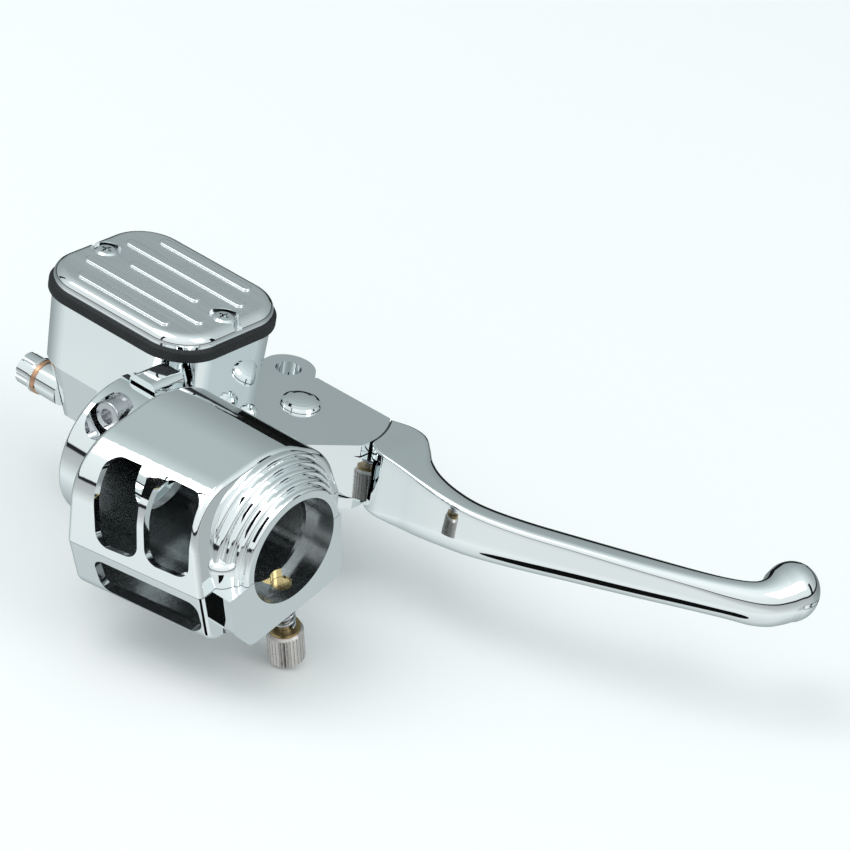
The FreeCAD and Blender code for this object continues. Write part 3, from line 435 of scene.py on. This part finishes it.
def build_lever(material, shaded_raw):
    """Lever: the tongue of the casting kept as it is inside the fork, and a smoothly blended arm and ball
    outside.
    """
    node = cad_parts["brake_lever"]
    tongue = bpy.data.objects.new("lever_tongue", node.data.copy())
    tongue.matrix_world = node.matrix_world.copy()
    bpy.context.scene.collection.objects.link(tongue)
    work = bmesh.new()
    work.from_mesh(tongue.data)
    pivot = Vector((PIVOT[0] * MM, PIVOT[1] * MM))
    outside = []
    for face in work.faces:
        places = [(tongue.matrix_world @ vertex.co).to_2d() - pivot for vertex in face.verts]
        if min(place.length for place in places) > (ARM_START - ARM_OVERLAP) * MM:
            outside.append(face)
    bmesh.ops.delete(work, geom=outside, context="FACES")
    work.to_mesh(tongue.data)
    work.free()
    points, faces = lever_arm(FORK_MIDDLE_Z * MM)
    mesh = bpy.data.meshes.new("lever_arm")
    mesh.from_pydata(points, [], faces)
    mesh.materials.append(material)
    mesh.materials.append(shaded_raw)
    mesh.shade_smooth()
    # The arm's end face inside the fork takes the painted shade material.
    mesh.polygons[0].material_index = 1
    mesh.polygons[0].use_smooth = False
    arm = bpy.data.objects.new("lever_arm", mesh)
    bpy.context.scene.collection.objects.link(arm)
    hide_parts("brake_lever")
    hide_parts("brake_lever")
    for piece in (tongue, arm):
        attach(piece, "lever")


# --- Springs -------------------------------------------------------------------------------------

def build_spring(node_name):
    """Coil of a CAD spring, copied into its own mesh and carried with the control body."""
    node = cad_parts[node_name]
    coil = bpy.data.objects.new(node_name + "_coil", node.data.copy())
    coil.matrix_world = node.matrix_world.copy()
    bpy.context.scene.collection.objects.link(coil)
    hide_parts(node_name)
    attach(coil, "control_body")
    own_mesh(coil)


# --- Studio --------------------------------------------------------------------------------------

def make_camera():
    """Camera turned about the aim point by azimuth and elevation, then rolled."""
    azimuth = math.radians(VIEW_AZIMUTH)
    elevation = math.radians(VIEW_ELEVATION)
    roll = math.radians(VIEW_ROLL)
    toward = Vector((math.cos(elevation) * math.sin(azimuth), -math.cos(elevation) * math.cos(azimuth),
                     math.sin(elevation)))
    level_right = Vector((math.cos(azimuth), math.sin(azimuth), 0))
    level_up = toward.cross(level_right)
    right = level_right * math.cos(roll) + level_up * math.sin(roll)
    up = level_up * math.cos(roll) - level_right * math.sin(roll)
    data = bpy.data.cameras.new("camera")
    data.lens = LENS
    camera = bpy.data.objects.new("camera", data)
    bpy.context.scene.collection.objects.link(camera)
    turn = Matrix((right, up, toward)).transposed().to_4x4()
    camera.matrix_world = Matrix.Translation(VIEW_AIM + toward * VIEW_DISTANCE) @ turn
    bpy.context.scene.camera = camera


def make_floor(height):
    """Plain pale floor just under the object's lowest point."""
    half = FLOOR_HALF_SIZE
    mesh = bpy.data.meshes.new("floor")
    corners = [(x * half, y * half, height) for x, y in ((-1, -1), (1, -1), (1, 1), (-1, 1))]
    mesh.from_pydata(corners, [], [(0, 1, 2, 3)])
    floor = bpy.data.objects.new("floor", mesh)
    bpy.context.scene.collection.objects.link(floor)
    shader = Shader("floor_paper")
    shader.put("Base Color", shader.colours(shader.noise(2.0, 2), (0.90, 0.91, 0.91), (0.93, 0.935, 0.935)))
    shader.put("Roughness", 0.9)
    shader.put("Specular IOR Level", 0.1)
    mesh.materials.append(shader.material)
    floor.visible_glossy = False


def make_world():
    """Light tent: white on the open front, greyer behind, with a dark gap at the horizon."""
    world = bpy.data.worlds.new("tent")
    bpy.context.scene.world = world
    world.use_nodes = True
    tree = world.node_tree
    nodes = tree.nodes
    background = nodes["Background"]
    direction = nodes.new("ShaderNodeTexCoord").outputs["Generated"]

    def ramp(value, stops):
        fit = nodes.new("ShaderNodeMapRange")
        fit.inputs["From Min"].default_value = -1.0
        tree.links.new(value, fit.inputs["Value"])
        made = nodes.new("ShaderNodeValToRGB")
        while len(made.color_ramp.elements) < len(stops):
            made.color_ramp.elements.new(0.5)
        for element, (position, colour) in zip(made.color_ramp.elements, stops):
            element.position = (position + 1) / 2
            element.color = (*colour, 1)
        tree.links.new(fit.outputs["Result"], made.inputs["Fac"])
        return made.outputs["Color"]

    def times(a, b):
        made = nodes.new("ShaderNodeMix")
        made.data_type = "RGBA"
        made.blend_type = "MULTIPLY"
        made.inputs["Factor"].default_value = 1.0
        tree.links.new(a, made.inputs["A"])
        tree.links.new(b, made.inputs["B"])
        return made.outputs["Result"]

    front = nodes.new("ShaderNodeVectorMath")
    front.operation = "DOT_PRODUCT"
    front.inputs[1].default_value = TENT_FRONT
    tree.links.new(direction, front.inputs[0])
    parts = nodes.new("ShaderNodeSeparateXYZ")
    tree.links.new(direction, parts.inputs["Vector"])
    depth = ramp(front.outputs["Value"], TENT_DEPTH)
    height = ramp(parts.outputs["Z"], TENT_HEIGHT)
    tree.links.new(times(depth, height), background.inputs["Color"])
    background.inputs["Strength"].default_value = 1.0


def stage_card(name, corners, faces):
    """A dark surface that shows only in reflections."""
    mesh = bpy.data.meshes.new(name)
    mesh.from_pydata(corners, [], faces)
    made = bpy.data.objects.new(name, mesh)
    bpy.context.scene.collection.objects.link(made)
    made.visible_camera = False
    made.visible_diffuse = False
    made.visible_shadow = False
    shader = Shader(name)
    shader.put("Base Color", (CARD_LEVEL, CARD_LEVEL, CARD_LEVEL, 1))
    shader.put("Roughness", 1.0)
    shader.put("Specular IOR Level", 0.0)
    mesh.materials.append(shader.material)
    return made


def card(name, place, width, height, toward=(0.0, 0.0, 0.0), sides=4):
    """A flat card standing at place and facing toward: a rectangle, or an oval."""
    stretch = math.sqrt(2) if sides == 4 else 1.0
    corners = []
    for index in range(sides):
        angle = 2 * math.pi * (index + 0.5) / sides
        corners.append((width / 2 * stretch * math.cos(angle), height / 2 * stretch * math.sin(angle), 0))
    made = stage_card(name, corners, [tuple(range(sides))])
    turn = (Vector(place) - Vector(toward)).to_track_quat("Z", "Y").to_matrix().to_4x4()
    made.matrix_world = Matrix.Translation(place) @ turn


def arched_card(name, reach, radius, degrees, steps=16):
    """A strip bent round the handlebar axis, between two elevations above the rider's side."""
    corners = []
    for index in range(steps + 1):
        angle = math.radians(degrees[0] + (degrees[1] - degrees[0]) * index / steps)
        for x in reach:
            corners.append((x, -radius * math.cos(angle), radius * math.sin(angle)))
    faces = [(2 * i, 2 * i + 1, 2 * i + 3, 2 * i + 2) for i in range(steps)]
    stage_card(name, corners, faces)


def softbox(name, azimuth, elevation, distance, width, height, power):
    """Area light aimed at the object."""
    a = math.radians(azimuth)
    e = math.radians(elevation)
    away = Vector((math.sin(a) * math.cos(e), -math.cos(a) * math.cos(e), math.sin(e)))
    data = bpy.data.lights.new(name, "AREA")
    data.shape = "RECTANGLE"
    data.size = width
    data.size_y = height
    data.energy = power
    made = bpy.data.objects.new(name, data)
    bpy.context.scene.collection.objects.link(made)
    turn = away.to_track_quat("Z", "Y").to_matrix().to_4x4()
    made.matrix_world = Matrix.Translation(away * distance) @ turn


def make_studio():
    """World, soft lights, dark cards and the view transform."""
    make_world()
    for name, settings in SOFTBOXES.items():
        softbox(name, *settings)
    for name, (place, width, height) in CARDS.items():
        card(name, place, width, height)
    card("card_low", (0.205, -0.115, -0.396), 0.28, 0.22, toward=(0.155, 0.106, -0.009), sides=48)
    arched_card("card_rings", reach=(-0.018, -0.003), radius=0.15, degrees=(17, 63))
    scene = bpy.context.scene
    scene.view_settings.view_transform = "Standard"
    scene.view_settings.look = "None"


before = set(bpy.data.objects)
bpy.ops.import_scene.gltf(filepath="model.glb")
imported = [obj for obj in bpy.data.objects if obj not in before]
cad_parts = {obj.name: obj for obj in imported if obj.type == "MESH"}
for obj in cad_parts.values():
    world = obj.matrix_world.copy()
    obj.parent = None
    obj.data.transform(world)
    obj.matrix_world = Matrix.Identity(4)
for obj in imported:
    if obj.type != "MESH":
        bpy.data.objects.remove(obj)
CAD_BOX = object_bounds()
make_camera()
make_studio()
make_floor(CAD_BOX[0].z - FLOOR_DROP)
casting = paint_nodes()
build_lever(casting, shaded_raw_casting("shaded_raw_casting"))
build_spring("return_spring")
build_spring("friction_spring")
